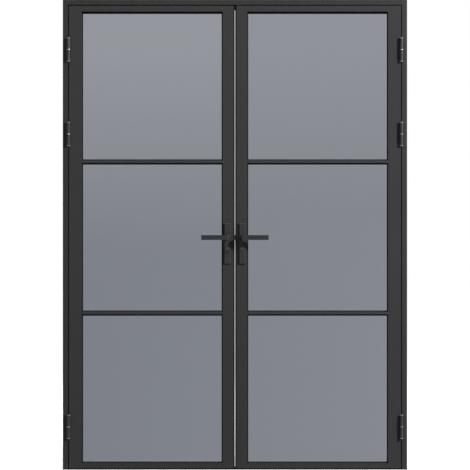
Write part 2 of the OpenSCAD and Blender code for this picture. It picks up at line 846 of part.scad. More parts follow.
// Plug in the top of the meeting stile that guides the rod
module right_rod_guide() {
    inner = leaf_wall + turn_fit;
    color(RUBBER) difference() {
        block([edge_x + step_w + 2 * leaf_wall, -back_y + step_depth + 2 * leaf_wall, leaf_top - 20],
            [edge_x + lock_body - inner, back_y - inner, leaf_top]);
        translate([rod_x, 0, 0]) cylinder(r = rod_r + turn_fit, h = frame_h);
    }
}

frame_head();
left_jamb();
right_jamb();
threshold();
frame_seal();
head_keep();
hinge_frame_halves();
hinge_pins();
hinge_washers();
left_hinge_stile();
left_lock_stile();
left_top_rail();
left_bottom_rail();
left_glazing_bars();
left_top_pane();
left_middle_pane();
left_bottom_pane();
left_glazing_beads();
left_glazing_gaskets();
left_hinge_leaf_halves();
left_lock_case();
left_forend();
left_front_plate();
left_back_plate();
left_cylinder();
left_meeting_seal();
left_bottom_seal();
left_front_lever();
left_back_lever();
left_spindle();
left_follower();
left_key_plug();
left_latch_bolt();
left_dead_bolt();
right_hinge_stile();
right_lock_stile();
right_top_rail();
right_bottom_rail();
right_glazing_bars();
right_top_pane();
right_middle_pane();
right_bottom_pane();
right_glazing_beads();
right_glazing_gaskets();
right_hinge_leaf_halves();
right_gear_case();
right_strike_plate();
right_front_plate();
right_back_plate();
right_cylinder();
right_meeting_seal();
right_bottom_seal();
right_front_lever();
right_back_lever();
right_spindle();
right_follower();
right_key_plug();
right_top_rod();
right_rod_guide();
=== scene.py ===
import math

import bmesh
import bpy
import numpy as np
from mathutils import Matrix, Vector


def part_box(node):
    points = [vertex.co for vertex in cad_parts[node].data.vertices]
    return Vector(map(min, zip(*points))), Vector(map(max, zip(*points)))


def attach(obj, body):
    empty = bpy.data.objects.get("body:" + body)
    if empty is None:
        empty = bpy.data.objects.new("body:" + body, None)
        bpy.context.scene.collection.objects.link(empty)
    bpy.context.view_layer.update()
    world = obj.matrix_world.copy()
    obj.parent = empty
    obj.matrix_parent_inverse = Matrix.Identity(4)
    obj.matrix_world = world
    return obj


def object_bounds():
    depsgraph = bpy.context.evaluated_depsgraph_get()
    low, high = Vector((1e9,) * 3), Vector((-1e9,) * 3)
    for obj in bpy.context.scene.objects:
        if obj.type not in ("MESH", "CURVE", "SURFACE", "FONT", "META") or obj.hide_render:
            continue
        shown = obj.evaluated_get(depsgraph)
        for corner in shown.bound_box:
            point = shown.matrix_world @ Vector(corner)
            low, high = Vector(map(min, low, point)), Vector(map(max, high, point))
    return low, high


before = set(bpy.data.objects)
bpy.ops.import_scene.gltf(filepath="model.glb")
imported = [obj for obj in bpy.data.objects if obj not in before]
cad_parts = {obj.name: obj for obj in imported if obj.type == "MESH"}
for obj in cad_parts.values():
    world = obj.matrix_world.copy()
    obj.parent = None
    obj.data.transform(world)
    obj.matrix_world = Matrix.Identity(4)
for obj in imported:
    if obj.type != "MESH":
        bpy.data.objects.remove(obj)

cad_low, cad_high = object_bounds()
MM = 0.001


def low(node):
    """Lowest corner of a node at rest."""
    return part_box(node)[0]


def high(node):
    """Highest corner of a node at rest."""
    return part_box(node)[1]


# Sizes that the boxes of the solids don't give
STOP_STEP = 20 * MM  # how far a jamb's stop stands out from the face beside the leaf
PIN_RADIUS = 3 * MM
HINGE_MIDDLES = (0.192, 1.499, 1.876)
HINGE_HALF = 53.5 * MM
HINGE_CAP = 3 * MM
CYLINDER_RADIUS = 8.5 * MM
GASKET_SIGHT = 4 * MM
BARS_A_LEAF = 2

# Places that the new pieces need, read from the solids of the right leaf and the right jamb
JAMB_FACE_X = low("right_jamb").x + STOP_STEP
HINGE_AXIS_X = high("hinge_pins").x - PIN_RADIUS
LEAF_FRONT_Y = low("right_hinge_stile").y
LEAF_BACK_Y = high("right_hinge_stile").y
MEETING_EDGE_X = low("right_lock_stile").x
LEVER_X = (low("right_front_plate").x + high("right_front_plate").x) / 2
LEVER_Z = (low("right_front_lever").z + high("right_front_lever").z) / 2
LEVER_UNDER_Z = low("right_front_lever").z
PLATE_THICK = LEAF_FRONT_Y - low("right_front_plate").y
PLATE_ENDS = (low("right_front_plate").z, high("right_front_plate").z)
CYLINDER_Z = high("right_cylinder").z - CYLINDER_RADIUS
GLASS_HALF = high("right_top_pane").y
BAY_X = (high("right_lock_stile").x, low("right_hinge_stile").x)
SILL_Z = high("right_bottom_rail").z
BAY_HIGH = low("right_glazing_bars").z - SILL_Z
BAY_PITCH = (high("right_glazing_bars").z - SILL_Z) / BARS_A_LEAF
BAY_Z = [(SILL_Z + k * BAY_PITCH, SILL_Z + k * BAY_PITCH + BAY_HIGH)
         for k in range(BARS_A_LEAF + 1)]


# Surfaces

MERGE_DISTANCE = 0.005 * MM
POLE = 1e-6  # radius of a ring that the merge closes to a point


def new_piece(name, shape, material, body, smooth=False):
    """Puts a finished shape into the scene, riding on a body of the door. Points that meet at
    poles and corners are merged, and the faces of each closed shell are turned outwards."""
    points, faces = shape
    mesh = bpy.data.meshes.new(name)
    mesh.from_pydata(points.tolist(), [], faces.tolist())
    shell = bmesh.new()
    shell.from_mesh(mesh)
    bmesh.ops.remove_doubles(shell, verts=shell.verts, dist=MERGE_DISTANCE)
    bmesh.ops.recalc_face_normals(shell, faces=shell.faces)
    shell.to_mesh(mesh)
    shell.free()
    mesh.polygons.foreach_set("use_smooth", np.full(len(mesh.polygons), smooth))
    mesh.update()
    mesh.materials.append(material)
    piece = bpy.data.objects.new(name, mesh)
    bpy.context.scene.collection.objects.link(piece)
    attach(piece, body)


def grid_faces(rows, columns, wrap_rows=False):
    """Quads of a grid whose columns close on themselves, and its rows too if asked."""
    r = np.arange(rows if wrap_rows else rows - 1)[:, None]
    c = np.arange(columns)[None, :]
    r1, c1 = (r + 1) % rows, (c + 1) % columns
    corners = [r * columns + c, r * columns + c1, r1 * columns + c1, r1 * columns + c]
    return np.stack([np.broadcast_to(k, (len(r), columns)) for k in corners], -1).reshape(-1, 4)


def axes_along(direction):
    """Unit vectors u, v and w, right-handed: w lies along the direction, and u is level and
    across it, or along X where the direction is upright."""
    w = np.array(direction, float) / np.linalg.norm(direction)
    u = np.cross([0, 0, 1], w) if abs(w[2]) < 0.9 else np.array([1.0, 0, 0])
    u /= np.linalg.norm(u)
    return u, np.cross(w, u), w


def turned(profile, steps):
    """Surface of revolution about the third axis: each profile point (radius, height) goes
    round at equal angles, x = radius cos a, y = radius sin a, z = height."""
    a = np.linspace(0, 2 * np.pi, steps, endpoint=False)
    r, h = np.array(profile, float).T
    rings = np.stack([r[:, None] * np.cos(a), r[:, None] * np.sin(a),
                      np.repeat(h[:, None], steps, 1)], -1)
    return rings.reshape(-1, 3), grid_faces(len(r), steps)


def screw_head(radius, crown=0.12):
    """Countersunk head with a hexagon socket, as rings around the third axis. The crown falls
    with the square of the radius, the socket drops straight to its floor, and below the rim a
    cone runs in to half the radius. crown is its height as a share of the radius."""
    steps, socket_half, socket_deep, cone = 24, 0.42 * radius, 0.4 * radius, 0.5 * radius
    a = np.linspace(0, 2 * np.pi, steps, endpoint=False)
    hexagon = socket_half * np.cos(np.pi / 6) / np.cos((a % (np.pi / 3)) - np.pi / 6)
    around = np.ones(steps)
    rings = [(POLE * around, -socket_deep), (0.97 * hexagon, -socket_deep),
             (hexagon, 0.82 * crown * radius)]
    rings += [(share * radius * around, crown * radius * (1 - share ** 2))
              for share in (0.62, 0.8, 0.92, 1.0)]
    rings += [(cone * around, -cone), (POLE * around, -cone)]
    points = np.concatenate([np.stack([r * np.cos(a), r * np.sin(a), np.full(steps, h)], -1)
                             for r, h in rings])
    return points, grid_faces(len(rings), steps)[:, ::-1]


def mirrored(shape):
    """The shape's mirror image across the middle of the door, its faces turned to match."""
    points, faces = shape
    return points * (-1, 1, 1), faces[:, ::-1]


def on_side(side, shape):
    """A shape of the right leaf, or its mirror image for the left leaf."""
    return shape if side == "right" else mirrored(shape)


def strip_along_x(section, x0, x1):
    """Prism: a section of (y, z) points, counted with the inside on the left as seen from +X,
    carried straight from x0 to x1, its ends closed by fans to the section's middle."""
    yz = np.array(section, float)
    middle = np.tile(yz.mean(0), (len(yz), 1))
    rings = np.stack([middle, yz, yz, middle])
    x = np.array([x0, x0, x1, x1])[:, None, None] * np.ones((1, len(yz), 1))
    points = np.concatenate([x, rings], -1).reshape(-1, 3)
    return points, grid_faces(len(rings), len(yz))


def placed(shape, places, direction):
    """Copies of a shape with its third axis along direction, one at each place."""
    points, faces = shape
    turned_points = points @ np.stack(axes_along(direction))
    copies = np.concatenate([turned_points + np.array(p, float) for p in places])
    shifts = np.arange(len(places))[:, None, None] * len(points)
    return copies, (faces[None] + shifts).reshape(-1, faces.shape[1])


def joined(*parts):
    """Several (points, faces) as one mesh."""
    shift, points, faces = 0, [], []
    for p, f in parts:
        points.append(p)
        faces.append(f + shift)
        shift += len(p)
    return np.concatenate(points), np.concatenate(faces)


def lip_around(x0, x1, z0, z1, radius, out):
    """Rubber lip on the glass around a bay: a circle flattened to nine tenths, resting on the
    glass and carried along a rectangle whose corners are arcs of three radii. out is -1 where
    the lip faces the front and 1 at the back."""
    steps, bend, corner, flat = 8, 6, 3 * radius, 0.9 * radius
    arcs = []
    for k, (cx, cz) in enumerate([(x1 - corner, z1 - corner), (x0 + corner, z1 - corner),
                                  (x0 + corner, z0 + corner), (x1 - corner, z0 + corner)]):
        t = np.linspace(k, k + 1, bend) * np.pi / 2
        arcs.append(np.stack([cx + corner * np.cos(t), cz + corner * np.sin(t),
                              np.cos(t), np.sin(t)], -1))
    path = np.concatenate(arcs)
    s = np.linspace(0, 2 * np.pi, steps, endpoint=False)
    across = radius * np.cos(s)
    x = path[:, None, 0] + path[:, None, 2] * across
    z = path[:, None, 1] + path[:, None, 3] * across
    y = np.broadcast_to(out * (GLASS_HALF + flat + flat * np.sin(s)), x.shape)
    faces = grid_faces(len(path), steps, wrap_rows=True)
    return np.stack([x, y, z], -1).reshape(-1, 3), faces if out > 0 else faces[:, ::-1]


# Shader nodes. Each helper takes numbers or sockets. wire returns its node, the others what
# the node puts out.

def wire(tree, kind, inputs=None, **settings):
    """New node with its settings, its inputs set to values or linked from sockets."""
    node = tree.nodes.new("ShaderNode" + kind)
    for key, value in settings.items():
        setattr(node, key, value)
    for key, value in (inputs or {}).items():
        if isinstance(value, bpy.types.NodeSocket):
            tree.links.new(value, node.inputs[key])
        else:
            node.inputs[key].default_value = value
    return node


def maths(tree, operation, *numbers):
    """Sum, product or other result of numbers."""
    return wire(tree, "Math", dict(enumerate(numbers)), operation=operation).outputs[0]


def fitted(tree, value, start, end, first=0.0, last=1.0):
    """Straight change from first, where the value is at start, to last, where it is at end."""
    return wire(tree, "MapRange", {"Value": value, "From Min": start, "From Max": end,
                                   "To Min": first, "To Max": last}).outputs[0]


def scaled(tree, colour, factor):
    """A colour times a factor."""
    return wire(tree, "VectorMath", {0: colour, "Scale": factor}, operation="SCALE").outputs[0]


def blended(tree, share, first, second):
    """The first colour, with a share of the second over it."""
    return wire(tree, "Mix", {"Factor": share, 6: first, 7: second},
                data_type="RGBA").outputs[2]


def noise(tree, place, scale, detail):
    """Noise from 0 to 1: scale is its waves a metre, and detail counts the finer layers."""
    return wire(tree, "TexNoise", {"Vector": place, "Scale": scale,
                                   "Detail": detail}).outputs["Fac"]


def parts_of(tree, vector):
    """The X, Y and Z of a vector, by name."""
    return wire(tree, "SeparateXYZ", {0: vector}).outputs


def ramp(tree, factor, stops):
    """Colour ramp through (place, colour) stops."""
    node = wire(tree, "ValToRGB", {0: factor})
    while len(node.color_ramp.elements) < len(stops):
        node.color_ramp.elements.new(0.5)
    for element, (place, shade) in zip(node.color_ramp.elements, stops):
        element.position = place
        element.color = (*shade, 1)
    return node.outputs["Color"]


# Shader groups

FILM_OUTPUTS = [("Color", "Color"), ("Roughness", "Float"), ("Height", "Float")]


def new_group(name, inputs, outputs):
    """Empty node group with named sockets; returns it with its input and output nodes."""
    tree = bpy.data.node_groups.new(name, "ShaderNodeTree")
    for key, kind, value in inputs:
        made = tree.interface.new_socket(name=key, in_out="INPUT",
                                         socket_type="NodeSocket" + kind)
        if value is not None:
            made.default_value = value
    for key, kind in outputs:
        tree.interface.new_socket(name=key, in_out="OUTPUT", socket_type="NodeSocket" + kind)
    return tree, tree.nodes.new("NodeGroupInput").outputs, tree.nodes.new("NodeGroupOutput")


def give(tree, outlet, **values):
    """Links sockets to the outputs of a group."""
    for key, value in values.items():
        tree.links.new(value, outlet.inputs[key])


def swing(tree, pattern, amount):
    """A noise made to swing about nothing: (pattern - 1/2) times amount."""
    return maths(tree, "MULTIPLY", maths(tree, "SUBTRACT", pattern, 0.5), amount)


def give_film(tree, inlet, outlet, change, height):
    """Puts out a film whose colour is Shade times (1 + change) and whose roughness is Gloss
    plus change, with its height."""
    colour = scaled(tree, inlet["Shade"], maths(tree, "ADD", change, 1.0))
    rough = maths(tree, "ADD", change, inlet["Gloss"])
    give(tree, outlet, Color=colour, Roughness=rough, Height=height)


def coating_group():
    """Baked powder paint: slow cloudy change of shade, fine grains of a second shade, and the
    orange-peel height of the sprayed film."""
    tree, inlet, outlet = new_group(
        "sprayed_coating",
        [("Place", "Vector", None), ("Shade", "Color", (0.04, 0.04, 0.04, 1)),
         ("Cloud", "Float", 0.1), ("Grain", "Float", 0.1), ("Gloss", "Float", 0.42)],
        FILM_OUTPUTS)
    clouded = swing(tree, noise(tree, inlet["Place"], scale=2.6, detail=3.0), inlet["Cloud"])
    grained = swing(tree, noise(tree, inlet["Place"], scale=1900.0, detail=2.0), inlet["Grain"])
    peel = noise(tree, inlet["Place"], scale=620.0, detail=1.0)
    give_film(tree, inlet, outlet, maths(tree, "ADD", clouded, grained), peel)
    return tree


def brushed_group():
    """Brushed metal: noise drawn out along the length gives streaks of shade and roughness."""
    tree, inlet, outlet = new_group(
        "brushed_streaks",
        [("Place", "Vector", None), ("Shade", "Color", (0.6, 0.6, 0.6, 1)),
         ("Streak", "Float", 0.2), ("Gloss", "Float", 0.3)],
        FILM_OUTPUTS)
    drawn = wire(tree, "VectorMath", {0: inlet["Place"], 1: (900.0, 900.0, 22.0)},
                 operation="MULTIPLY").outputs[0]
    streak = noise(tree, drawn, scale=1.0, detail=3.0)
    give_film(tree, inlet, outlet, swing(tree, streak, inlet["Streak"]), streak)
    return tree


def dust_group():
    """Pale dust that settles where a surface looks up, broken up by noise, and dulls it there.
    It starts where the normal's upward part is 0.35 and is full at 0.95."""
    tree, inlet, outlet = new_group(
        "settled_dust",
        [("Place", "Vector", None), ("Color", "Color", (0.1, 0.1, 0.1, 1)),
         ("Roughness", "Float", 0.5), ("Amount", "Float", 0.2)],
        [("Color", "Color"), ("Roughness", "Float")])
    start, full, dust_shade, dust_rough = 0.35, 0.95, (0.33, 0.32, 0.30, 1), 0.92
    facing = parts_of(tree, wire(tree, "NewGeometry").outputs["Normal"])["Z"]
    patch = noise(tree, inlet["Place"], scale=70.0, detail=4.0)
    broken = maths(tree, "MULTIPLY", fitted(tree, facing, start, full), patch)
    share = maths(tree, "MULTIPLY", broken, inlet["Amount"])
    give(tree, outlet, Color=blended(tree, share, inlet["Color"], dust_shade),
         Roughness=fitted(tree, facing, start, full, inlet["Roughness"], dust_rough))
    return tree


COATING = coating_group()
BRUSHED = brushed_group()
DUST = dust_group()


# Finishes

PAINT_CLOUD, PAINT_GRAIN = 0.14, 0.16


def bare_material(name):
    """Material with a Principled BSDF; returns it with its tree, shader and Object place."""
    made = bpy.data.materials.new(name)
    made.use_nodes = True
    tree = made.node_tree
    shader = tree.nodes["Principled BSDF"]
    place = tree.nodes.new("ShaderNodeTexCoord").outputs["Object"]
    return made, tree, shader, place


def use_group(tree, group, **values):
    """Places a shader group in a material; returns its outputs."""
    return wire(tree, "Group", values, node_tree=group).outputs


def cover(tree, shader, colour, roughness, plain):
    """Links the colour and the roughness to the shader, and sets its plain inputs by name."""
    tree.links.new(colour, shader.inputs["Base Color"])
    tree.links.new(roughness, shader.inputs["Roughness"])
    for key, value in plain.items():
        shader.inputs[key].default_value = value


def soft_edges(tree, shader, height, relief, edge):
    """Rounds sharp edges in the shading to the radius edge, and raises the height field on them
    by relief. Both are metres."""
    rounded = wire(tree, "Bevel", {"Radius": edge}, samples=4)
    raised = wire(tree, "Bump", {"Height": height, "Distance": relief, "Strength": 1.0,
                                 "Normal": rounded.outputs[0]})
    tree.links.new(raised.outputs[0], shader.inputs["Normal"])


def dusty_film(name, shade, gloss, cloud, grain, dust, specular, relief, edge):
    """Sprayed or moulded film of one shade, with dust where it looks up."""
    made, tree, shader, place = bare_material(name)
    coat = use_group(tree, COATING, Place=place, Shade=(*shade, 1), Cloud=cloud, Grain=grain,
                     Gloss=gloss)
    dusted = use_group(tree, DUST, Place=place, Color=coat["Color"],
                       Roughness=coat["Roughness"], Amount=dust)
    cover(tree, shader, dusted["Color"], dusted["Roughness"], {"Specular IOR Level": specular})
    soft_edges(tree, shader, coat["Height"], relief, edge)
    return made


def powder_coat(name, shade, gloss=0.46, specular=0.2):
    """Dark powder paint on aluminium."""
    return dusty_film(name, shade, gloss, PAINT_CLOUD, PAINT_GRAIN, dust=0.12,
                      specular=specular, relief=0.02 * MM, edge=0.6 * MM)


def moulded_rubber(name, shade, gloss=0.62):
    """Black rubber or nylon, matt, with fine flow marks and some dust."""
    return dusty_film(name, shade, gloss, cloud=0.2, grain=0.3, dust=0.1, specular=0.15,
                      relief=0.03 * MM, edge=0.3 * MM)


def hinge_coat(name, shade, cap_shade):
    """Powder paint of the knuckles with paler end caps. A point is on a cap where it is further
    above or below the nearest hinge's middle than half a hinge less the cap."""
    made, tree, shader, place = bare_material(name)
    height = parts_of(tree, place)["Z"]
    away = [maths(tree, "ABSOLUTE", maths(tree, "SUBTRACT", height, middle))
            for middle in HINGE_MIDDLES]
    near = maths(tree, "MINIMUM", maths(tree, "MINIMUM", away[0], away[1]), away[2])
    cap_start = HINGE_HALF - HINGE_CAP
    cap = fitted(tree, near, cap_start, cap_start + 0.2 * MM)
    coat = use_group(tree, COATING, Place=place, Shade=(*shade, 1), Cloud=PAINT_CLOUD,
                     Grain=PAINT_GRAIN, Gloss=0.27)
    cover(tree, shader, blended(tree, cap, coat["Color"], (*cap_shade, 1)), coat["Roughness"],
          {"Specular IOR Level": 0.5})
    soft_edges(tree, shader, coat["Height"], relief=0.01 * MM, edge=0.4 * MM)
    return made


def brushed_metal(name, shade, gloss=0.3, streak=0.25):
    """Bare metal with the fine lines of brushing."""
    made, tree, shader, place = bare_material(name)
    lines = use_group(tree, BRUSHED, Place=place, Shade=(*shade, 1), Streak=streak, Gloss=gloss)
    cover(tree, shader, lines["Color"], lines["Roughness"], {"Metallic": 1.0})
    soft_edges(tree, shader, lines["Height"], relief=0.01 * MM, edge=0.3 * MM)
    return made


def zinc_plated(name):
    """Zinc-plated steel of the parts inside the locks, with its cloudy yellow-grey crystals."""
    made, tree, shader, place = bare_material(name)
    crystals = wire(tree, "TexVoronoi", {"Vector": place, "Scale": 160.0}).outputs
    shade = ramp(tree, crystals["Color"], [(0.0, (0.42, 0.43, 0.41)), (0.6, (0.55, 0.55, 0.51)),
                                           (1.0, (0.66, 0.65, 0.6))])
    rough = fitted(tree, crystals["Distance"], 0.0, 1.0, 0.32, 0.5)
    cover(tree, shader, shade, rough, {"Metallic": 1.0})
    soft_edges(tree, shader, crystals["Distance"], relief=0.01 * MM, edge=0.3 * MM)
    return made


def glass_tint_and_painted_reflection(name, lower_shade, upper_shade, turn, middle):
    """Grey body-tinted glass with painted reflection: lower_shade up to the share turn of the
    door's height, and from there evenly paler to upper_shade at nine tenths of it; this paling
    upwards is painted reflection. Low down it also pales to the right, and that is painted
    reflection too: by slant a metre from the middle of the pane, fading to nothing above mid
    height. Smears roughen it a little."""
    slant, fade_from, fade_to, smear_rough = 0.11, 0.5, 1.4, 0.012
    made, tree, shader, place = bare_material(name)
    spot = parts_of(tree, place)
    # Painted reflection: the glass grows paler towards the top.
    tint_and_painted_reflection = ramp(tree, fitted(tree, spot["Z"], 0.0, cad_high.z),
                [(turn, lower_shade), (0.9, upper_shade)])
    # Painted reflection: low down the glass pales to the right.
    across = fitted(tree, spot["X"], middle - 1, middle + 1, -slant, slant)
    lower = fitted(tree, spot["Z"], fade_from, fade_to, 1.0, 0.0)
    painted_reflection_slant = maths(tree, "MULTIPLY_ADD", across, lower, 1.0)
    smear = noise(tree, place, scale=5.0, detail=3.0)
    rough = fitted(tree, smear, 0.3, 0.8, 0.0, smear_rough)
    cover(tree, shader, scaled(tree, tint_and_painted_reflection, painted_reflection_slant), rough,
          {"Transmission Weight": 1.0, "IOR": 1.5})
    return made


def anthracite(share=1.0):
    """The dark grey of frame and leaves, times a share that makes it lighter or darker. For the
    left jamb, the head, the left hinge stile and the plates, that share is painted light or
    shade.
    """
    return tuple(share * c for c in (0.0224, 0.0225, 0.0230))


PROFILE_PAINT = powder_coat("profile_paint", anthracite())
FRAME_PAINT = powder_coat("frame_paint", anthracite(0.98), gloss=0.48)
# Painted shade: the left jamb is a darker copy of the frame paint.
LEFT_JAMB_PAINTED_SHADE = powder_coat("left_jamb_painted_shade", anthracite(0.91), gloss=0.48)
# The threshold is near-black, partly as painted shade for the dark line along the door's foot.
SILL_PAINT_AND_SHADE = powder_coat("sill_paint_and_painted_shade", (0.006, 0.006, 0.0062), gloss=0.5)
# Painted shade: the head is a darker copy of the frame paint.
HEAD_PAINTED_SHADE = powder_coat("head_painted_shade", anthracite(0.88), gloss=0.48)
# Painted light: the left hinge stile is a lighter copy of the leaves' paint.
LEFT_STILE_PAINTED_LIGHT = powder_coat("left_stile_painted_light", anthracite(1.05))
BAR_PAINT = powder_coat("bar_paint", (0.0265, 0.0279, 0.0293), gloss=0.44)
# The plates' own paint is a neutral grey, made darker by painted shade from the levers above
# them.
PLATE_PAINT_AND_SHADE = powder_coat("plate_paint_and_painted_shade", anthracite(0.87), gloss=0.36, specular=0.55)
HANDLE_PAINT = powder_coat("handle_paint", (0.0175, 0.0200, 0.0225), gloss=0.33, specular=0.5)
HINGE_PAINT = hinge_coat("hinge_paint", anthracite(1.1), (0.19, 0.19, 0.192))
SEAL_RUBBER = moulded_rubber("seal_rubber", (0.006, 0.006, 0.0065))
GASKET_RUBBER = moulded_rubber("gasket_rubber", (0.005, 0.005, 0.0055), gloss=0.6)
BLACK_NYLON = moulded_rubber("black_nylon", (0.014, 0.014, 0.015), gloss=0.4)
SATIN_STEEL = brushed_metal("satin_steel", (0.56, 0.57, 0.58))
BRIGHT_STEEL = brushed_metal("bright_steel", (0.56, 0.56, 0.55), gloss=0.42, streak=0.1)
POLISHED_STEEL = brushed_metal("polished_steel", (0.70, 0.70, 0.69), gloss=0.2, streak=0.08)
ZINC_STEEL = zinc_plated("zinc_steel")
BLACK_STEEL = brushed_metal("black_steel", (0.14, 0.141, 0.144), gloss=0.34, streak=0.3)
PLUG_STEEL = brushed_metal("plug_steel", (0.30, 0.30, 0.304), gloss=0.3, streak=0.3)
# The left and right glass differ only by painted reflection and light: lighter and darker copies
# of one grey glass.
LEFT_GLASS = glass_tint_and_painted_reflection("left_glass", (0.214, 0.228, 0.260), (0.303, 0.316, 0.345),
                          turn=0.47, middle=-0.37)
RIGHT_GLASS = glass_tint_and_painted_reflection("right_glass", (0.233, 0.246, 0.276), (0.287, 0.297, 0.331),
                           turn=0.55, middle=0.37)

# Finishes by words in the nodes' names. A node takes the first line that it has a word of.
FINISHES = [
    ("left_top_pane left_middle_pane left_bottom_pane", LEFT_GLASS),
    ("pane", RIGHT_GLASS),
    ("gaskets", GASKET_RUBBER),
    ("seal", SEAL_RUBBER),
    ("guide", BLACK_NYLON),
    ("left_jamb", LEFT_JAMB_PAINTED_SHADE),
    ("jamb", FRAME_PAINT),
    ("frame_head", HEAD_PAINTED_SHADE),
    ("threshold", SILL_PAINT_AND_SHADE),
    ("left_hinge_stile", LEFT_STILE_PAINTED_LIGHT),
    ("stile rail", PROFILE_PAINT),
    ("bars beads", BAR_PAINT),
    ("lever", HANDLE_PAINT),
    ("front_plate back_plate", PLATE_PAINT_AND_SHADE),
    ("washers pins", BRIGHT_STEEL),
    ("hinge", HINGE_PAINT),
    ("case follower spindle keep rod", ZINC_STEEL),
    ("latch", POLISHED_STEEL),
    ("bolt forend strike", SATIN_STEEL),
    ("cylinder", BLACK_STEEL),
    ("plug", PLUG_STEEL),
]

for node_name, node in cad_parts.items():
    node.data.materials.clear()
    node.data.materials.append(next(finish for words, finish in FINISHES
                                    if any(word in node_name for word in words.split())))


# Small pieces that the solids leave out. Shapes are made for the right leaf and mirrored.

def hinge_screws():
    """Three screws through each flap, in the gap beside the leaf: those of the lower flaps sit
    in the jamb and face the leaf, those of the upper flaps sit in the leaf and face the jamb."""
    flap_middle, flap_face = 27 * MM, 0.2 * MM
    rows = [(-13 * MM, -16 * MM), (1 * MM, 0), (-13 * MM, 16 * MM)]

    def heads(way):
        """Heads of the flaps above the hinges' middles (way 1) or below them (way -1)."""
        places = [(HINGE_AXIS_X - way * flap_face, y, middle + way * flap_middle + dz)
                  for middle in HINGE_MIDDLES for y, dz in rows]
        return placed(screw_head(radius=3.4 * MM), places, (way, 0, 0))

    in_jamb, in_leaf = heads(-1), heads(1)
    new_piece("frame_hinge_screws", joined(in_jamb, mirrored(in_jamb)), ZINC_STEEL, "frame")
    for side in ("left", "right"):
        new_piece(side + "_leaf_hinge_screws", on_side(side, in_leaf), ZINC_STEEL,
                  side + "_leaf")


def edge_screws():
    """Screws of the lock's face plate and of the strike plate, and the cylinder's long screw."""
    end_inset, strike_inset, sunk = 7 * MM, 11 * MM, 0.35 * MM
    left_edge_x = -MEETING_EDGE_X
    ends = [(left_edge_x - sunk, 0, z)
            for z in (low("left_forend").z + end_inset, high("left_forend").z - end_inset)]
    plate_screws = placed(screw_head(radius=3.7 * MM, crown=0.05), ends, (1, 0, 0))
    long_screw = placed(screw_head(radius=2.7 * MM), [(left_edge_x, 0, CYLINDER_Z)], (1, 0, 0))
    new_piece("left_forend_screws", joined(plate_screws, long_screw), SATIN_STEEL, "left_leaf")
    place = (low("right_strike_plate").x, 0, high("right_strike_plate").z - strike_inset)
    strike_screw = placed(screw_head(radius=3.2 * MM), [place], (-1, 0, 0))
    new_piece("right_strike_screw", strike_screw, SATIN_STEEL, "right_leaf")


def handle_details():
    """On each leaf: a nylon ring around the collar of each lever, two screws through the back
    plate, and a set screw under the neck of each lever."""
    end_inset, neck_reach = 12 * MM, 24 * MM
    front, back = LEAF_FRONT_Y - PLATE_THICK, LEAF_BACK_Y + PLATE_THICK
    ring = turned([(11.0 * MM, 0), (12.6 * MM, 0), (12.6 * MM, 0.7 * MM), (12.2 * MM, 1.1 * MM),
                   (11.3 * MM, 1.1 * MM), (11.0 * MM, 0.8 * MM), (11.0 * MM, 0)], steps=48)
    rings = joined(placed(ring, [(LEVER_X, front, LEVER_Z)], (0, -1, 0)),
                   placed(ring, [(LEVER_X, back, LEVER_Z)], (0, 1, 0)))
    plate_places = [(LEVER_X, back, PLATE_ENDS[0] + end_inset),
                    (LEVER_X, back, PLATE_ENDS[1] - end_inset)]
    plate_screws = placed(screw_head(radius=4.2 * MM), plate_places, (0, 1, 0))
    neck_places = [(LEVER_X, LEAF_FRONT_Y - neck_reach, LEVER_UNDER_Z),
                   (LEVER_X, LEAF_BACK_Y + neck_reach, LEVER_UNDER_Z)]
    set_screws = placed(screw_head(radius=2.4 * MM, crown=0.02), neck_places, (0, 0, -1))
    for side in ("left", "right"):
        new_piece(side + "_collar_rings", on_side(side, rings), BLACK_NYLON, side + "_leaf")
        new_piece(side + "_plate_screws", on_side(side, plate_screws), BLACK_STEEL,
                  side + "_leaf")
        new_piece(side + "_set_screws", on_side(side, set_screws), BLACK_STEEL,
                  side + "_lever")


def frame_details():
    """Caps over the wall fixings in the jambs, screws in the threshold and in the keep."""
    cap = turned([(POLE, 0), (5.8 * MM, 0), (5.6 * MM, 0.35 * MM), (4.6 * MM, 0.9 * MM),
                  (2.5 * MM, 1.25 * MM), (POLE, 1.3 * MM)], steps=32)
    caps = placed(cap, [(JAMB_FACE_X, 0, z) for z in (0.09, 0.7, 1.4, 2.01)], (-1, 0, 0))
    new_piece("jamb_caps", joined(caps, mirrored(caps)), BLACK_NYLON, "frame",
              smooth=True)
    sill_top, sill_row = low("left_jamb").z, 13 * MM
    places = [(x, sill_row, sill_top) for x in (-0.6, -0.36, -0.12, 0.12, 0.36, 0.6)]
    sill_screws = placed(screw_head(radius=4.0 * MM), places, (0, 0, 1))
    new_piece("threshold_screws", sill_screws, SATIN_STEEL, "frame")
    keep_x, reach = (low("head_keep").x + high("head_keep").x) / 2, 8.5 * MM
    places = [(keep_x + dx, 0, low("head_keep").z) for dx in (-reach, reach)]
    keep_screws = placed(screw_head(radius=2.2 * MM), places, (0, 0, -1))
    new_piece("keep_screws", keep_screws, SATIN_STEEL, "frame")


